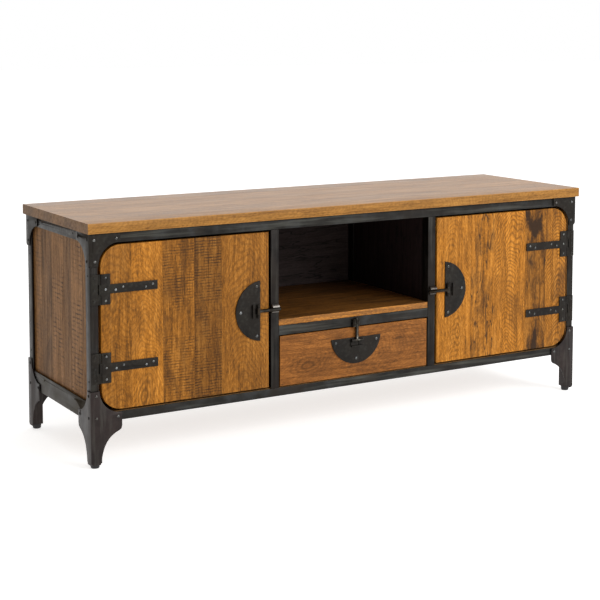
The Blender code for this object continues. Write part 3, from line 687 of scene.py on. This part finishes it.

# ---------------------------------------------------------------------------
# Hinges and latches. Sheet-iron straps, half-moon plates and brackets, filed
# at the edges; arms and keepers are barer, polished by handling, and the doors' keepers
# carry a painted highlight.
# ---------------------------------------------------------------------------
# Handling leaves the arms smooth and dark. The doors' keepers are paler, partly rubbed
# bright and partly a painted highlight for the light on their hoods.
filed_edge = 0.0004
arm_iron = waxed_iron("handled_and_shaded_iron", "#1c1a17", "#2e2a25", "#332a22", "#55534e", 0.3,
                      metallic=0.95, roughness=0.28)
keeper_iron = waxed_iron("rubbed_and_highlit_keeper_iron", "#2a2624", "#5a5551", "#4c443f", "#87827e",
                         0.4, metallic=0.9, roughness=0.34)
for node in sorted(nodes):
    if node.startswith("hinge_"):
        eased(node, plate_iron, filed_edge)
    if node.startswith("latch_"):
        part = node.rsplit("_", 1)[1]
        skin = {"arm": arm_iron, "keeper": keeper_iron, "plate": plate_iron}[part]
        # Painted shade: the drawer's keeper, its hood turned away from the light, takes the
        # darker arm iron.
        if node == "latch_drawer_keeper":
            skin = arm_iron           # less used than the doors' keepers
        eased(node, skin, filed_edge)

# ---------------------------------------------------------------------------
# Rivets and screws. Round-head rivets close the plates on the bars, slotted
# round-head screws hold the straps and half-moons to the wood.
# ---------------------------------------------------------------------------


def head_tree(name, slotted):
    """Nodes that set one domed head on each point, facing its outward direction."""
    tree = bpy.data.node_groups.new(name, "GeometryNodeTree")
    face = tree.interface
    face.new_socket("Geometry", in_out="INPUT", socket_type="NodeSocketGeometry")
    face.new_socket("Head radius", in_out="INPUT", socket_type="NodeSocketFloat")
    face.new_socket("Head rise", in_out="INPUT", socket_type="NodeSocketFloat")
    face.new_socket("Metal", in_out="INPUT", socket_type="NodeSocketMaterial")
    face.new_socket("Geometry", in_out="OUTPUT", socket_type="NodeSocketGeometry")
    given = tree.nodes.new("NodeGroupInput").outputs
    ball = add(tree, "GeometryNodeMeshUVSphere", {"Segments": 20, "Rings": 10,
                                                  "Radius": 1.0})
    shape = ball.outputs["Mesh"]
    if slotted:
        # The slot, in head radii: right across, a quarter wide, a third deep.
        cutter = add(tree, "GeometryNodeMeshCube", {"Size": (2.4, 0.24, 0.7)})
        raised = add(tree, "GeometryNodeTransform", {"Geometry": cutter.outputs["Mesh"],
                                                     "Translation": (0, 0, 1.0)})
        cut = add(tree, "GeometryNodeMeshBoolean", {"Mesh 1": shape,
                                                    "Mesh 2": raised.outputs[0]},
                  operation="DIFFERENCE")
        shape = cut.outputs["Mesh"]
    span = add(tree, "ShaderNodeCombineXYZ", {"X": given["Head radius"],
                                              "Y": given["Head radius"],
                                              "Z": given["Head rise"]})
    head = add(tree, "GeometryNodeTransform", {"Geometry": shape,
                                               "Scale": span.outputs[0]})
    facing = add(tree, "GeometryNodeInputNamedAttribute", {"Name": "facing"},
                 data_type="FLOAT_VECTOR")
    turn = add(tree, "FunctionNodeAlignRotationToVector",
               {"Vector": facing.outputs["Attribute"]}, axis="Z")
    placed = add(tree, "GeometryNodeInstanceOnPoints",
                 {"Points": given["Geometry"], "Instance": head.outputs[0],
                  "Rotation": turn.outputs[0]})
    real = add(tree, "GeometryNodeRealizeInstances", {"Geometry": placed.outputs[0]})
    smooth = add(tree, "GeometryNodeSetShadeSmooth", {"Geometry": real.outputs[0]})
    dressed = add(tree, "GeometryNodeSetMaterial", {"Geometry": smooth.outputs[0],
                                                    "Material": given["Metal"]})
    output = tree.nodes.new("NodeGroupOutput")
    tree.links.new(dressed.outputs[0], output.inputs["Geometry"])
    return tree


rivet_tree = head_tree("rivet_heads", False)
screw_tree = head_tree("screw_heads", True)


def set_heads(name, tree, places, radius, rise, metal, body):
    """Heads at (point, outward direction) places, as one plain mesh on a body."""
    cloud = bpy.data.meshes.new(name + "_points")
    cloud.from_pydata([p for p, _ in places], [], [])
    facing = cloud.attributes.new("facing", "FLOAT_VECTOR", "POINT")
    for entry, (_, outward) in zip(facing.data, places):
        entry.vector = outward
    maker = bpy.data.objects.new(name + "_points", cloud)
    bpy.context.scene.collection.objects.link(maker)
    modifier = maker.modifiers.new("heads", "NODES")
    modifier.node_group = tree
    values = {"Head radius": radius, "Head rise": rise, "Metal": metal}
    for item in tree.interface.items_tree:
        if item.in_out == "INPUT" and item.name in values:
            modifier[item.identifier] = values[item.name]
    graph = bpy.context.evaluated_depsgraph_get()
    mesh = bpy.data.meshes.new_from_object(maker.evaluated_get(graph))
    bpy.data.objects.remove(maker)
    piece = bpy.data.objects.new(name, mesh)
    mesh.name = name
    bpy.context.scene.collection.objects.link(piece)
    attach(piece, body)


# Heads in front are pale, partly rubbed bright and partly a painted highlight for the lit
# front; those on the ends are dark as painted shade for the end turned from the light, and
# those on the leaves stay black.
bright_rivet = waxed_iron("rubbed_and_highlit_rivet_iron", "#2c2c2c", "#5a5b5b", "#463f39", "#989b9e",
                          0.5, metallic=1.0, roughness=0.24)
dull_rivet = waxed_iron("blackened_and_shaded_rivet_iron", "#12100e", "#1a1815", "#201b17", "#2b2825",
                        0.1, metallic=0.6, roughness=0.5)
cad_rise = 0.0016                     # how far the solids' own heads stand proud
rivet_radius, rivet_rise = 0.0039, 0.0019
# Rivets on a corner plate: distance from the fold, drop from the plate's top.
rivet_spots = {"gusset": ((0.0130, 0.0149), (0.0700, 0.0139), (0.0150, 0.0664)),
               "leg": ((0.0145, 0.0123), (0.0145, 0.0658), (0.0700, 0.0668))}
fronts, ends = [], []
for hand, sx in (("left", -1), ("right", 1)):
    for row, sy in (("front", -1), ("back", 1)):
        for part, spots in rivet_spots.items():
            low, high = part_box(f"{part}_{row}_{hand}")
            edge_x = (high.x if sx > 0 else -low.x) - cad_rise
            edge_y = (high.y if sy > 0 else -low.y) - cad_rise
            for across, drop in spots:
                z = high.z - drop
                fronts.append(((sx * (edge_x - across), sy * edge_y, z), (0, sy, 0)))
                ends.append(((sx * edge_x, sy * (edge_y - across), z), (sx, 0, 0)))
# Painted highlight: the front heads take the pale metal.
set_heads("front_rivets", rivet_tree, fronts, rivet_radius, rivet_rise, bright_rivet,
          "cabinet")
# Painted shade: the ends' heads take the dark metal.
set_heads("end_rivets", rivet_tree, ends, rivet_radius, rivet_rise, dull_rivet, "cabinet")

small_rise, moon_proud = 0.0011, 0.0087   # solids' screw heads; knuckles off a half-moon
screw_radius, screw_rise = 0.0031, 0.0015
moon_radius, moon_rise = 0.0040, 0.0019
screw_pitch = 0.0275                  # between the screws up a hinge plate
leaf_in, strap_in = 0.0080, 0.1345    # of those screws, off the leaf's and strap's ends
# Screws along a strap: distance from its tip, height off its middle.
strap_spots = ((0.1090, -0.0030), (0.0900, 0.0025), (0.0310, -0.0030), (0.0125, 0.0025))
# Screws in a half-moon: distance from its straight edge, place along that edge.
moon_spots = ((0.0100, -0.0630), (0.0100, 0.0630), (0.0555, 0.0))
straight = (0, -1, 0)
for hand, sx in (("left", -1), ("right", 1)):
    on_leaf, on_strap = [], []
    for level in ("upper", "lower"):
        low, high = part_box(f"hinge_{hand}_{level}_leaf")
        outer = high.x if sx > 0 else -low.x
        middle = (low.z + high.z) / 2
        low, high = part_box(f"hinge_{hand}_{level}_strap")
        inner, face = (low.x if sx > 0 else -high.x), low.y + small_rise
        for dz in (-screw_pitch, 0.0, screw_pitch):
            on_leaf.append(((sx * (outer - leaf_in), face, middle + dz), straight))
            on_strap.append(((sx * (inner + strap_in), face, middle + dz), straight))
        for along, dz in strap_spots:
            on_strap.append(((sx * (inner + along), face, middle + dz), straight))
    low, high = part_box(f"latch_{hand}_plate")
    edge, middle = (low.x if sx > 0 else -high.x), (low.z + high.z) / 2
    on_moon = [((sx * (edge + u), low.y + moon_proud, middle + v), straight)
               for u, v in moon_spots]
    set_heads(f"{hand}_leaf_screws", screw_tree, on_leaf, screw_radius, screw_rise,
              dull_rivet, "cabinet")
    # The straps' and half-moons' heads take the pale metal, partly a painted highlight.
    set_heads(f"{hand}_strap_screws", screw_tree, on_strap, screw_radius, screw_rise,
              bright_rivet, f"{hand}_door")
    set_heads(f"{hand}_moon_screws", screw_tree, on_moon, moon_radius, moon_rise,
              bright_rivet, f"{hand}_door")
low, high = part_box("latch_drawer_plate")
on_moon = [((v, low.y + moon_proud, high.z - u), straight) for u, v in moon_spots]
# The drawer's half-moon heads take the pale metal too, partly a painted highlight.
set_heads("drawer_moon_screws", screw_tree, on_moon, moon_radius, moon_rise,
          bright_rivet, "drawer")

# ---------------------------------------------------------------------------
# Studio: a pale floor, a white surround, a large soft key from the front
# right and a camera at standing height, front left.
# ---------------------------------------------------------------------------
scene = bpy.context.scene
floor_mesh = bpy.data.meshes.new("floor")
reach, level = 30.0, -0.0005
floor_mesh.from_pydata([(-reach, -reach, level), (reach, -reach, level),
                        (reach, reach, level), (-reach, reach, level)], [],
                       [(0, 1, 2, 3)])
floor = bpy.data.objects.new("floor", floor_mesh)
scene.collection.objects.link(floor)
# Matt paper with a little light of its own, so that it stays white at the back.
paper, tree, shader = new_material("white_paper_sweep")
shader.inputs["Base Color"].default_value = linear("#cfcfcf")
shader.inputs["Roughness"].default_value = 0.9
shader.inputs["Specular IOR Level"].default_value = 0.0
shader.inputs["Emission Color"].default_value = (1, 1, 1, 1)
shader.inputs["Emission Strength"].default_value = 0.68
floor_mesh.materials.append(paper)

world = bpy.data.worlds.new("studio")
scene.world = world
world.use_nodes = True
# A brown flag on the left keeps the end panel quieter and warmer than the
# front; the camera itself sees plain white all round.
tree = world.node_tree
direction = add(tree, "ShaderNodeTexCoord")
parts = add(tree, "ShaderNodeSeparateXYZ", {0: direction.outputs["Generated"]})
past_flag = add(tree, "ShaderNodeMapRange", {"Value": parts.outputs["X"],
                                             "From Min": -0.75, "From Max": -0.05})
flagged = add(tree, "ShaderNodeMix", {0: past_flag.outputs[0],
                                      6: (0.345, 0.290, 0.225, 1.0),
                                      7: (1.05, 1.05, 1.05, 1.0)}, data_type="RGBA")
ray = add(tree, "ShaderNodeLightPath")
seen = add(tree, "ShaderNodeMix", {0: ray.outputs["Is Camera Ray"], 6: flagged.outputs[2],
                                   7: (1.0, 1.0, 1.0, 1.0)}, data_type="RGBA")
tree.links.new(seen.outputs[2], tree.nodes["Background"].inputs["Color"])


def soft_light(name, place, target, width, height, watts):
    """A rectangular softbox aimed at a point."""
    data = bpy.data.lights.new(name, "AREA")
    data.shape = "RECTANGLE"
    data.size, data.size_y = width, height
    data.energy = watts
    lamp = bpy.data.objects.new(name, data)
    lamp.location = place
    away = Vector(place) - Vector(target)
    lamp.rotation_euler = away.to_track_quat("Z", "Y").to_euler()
    scene.collection.objects.link(lamp)


soft_light("key", place=(1.6, -3.6, 2.4), target=(0.1, 0, 0.3), width=2.4, height=1.8,
           watts=110)

# A long lens held level but for five degrees, its picture shifted to frame the
# stand above the middle.
camera_data = bpy.data.cameras.new("camera")
camera_data.lens = 85.85
camera_data.sensor_width = 36
camera_data.shift_y = -0.25
camera = bpy.data.objects.new("camera", camera_data)
camera.location = (-2.0023, -3.3229, 1.0470)
camera.rotation_euler = (math.pi / 2 - 0.0855, 0.0, -0.5323)
scene.collection.objects.link(camera)
scene.camera = camera
scene.view_settings.view_transform = "Standard"
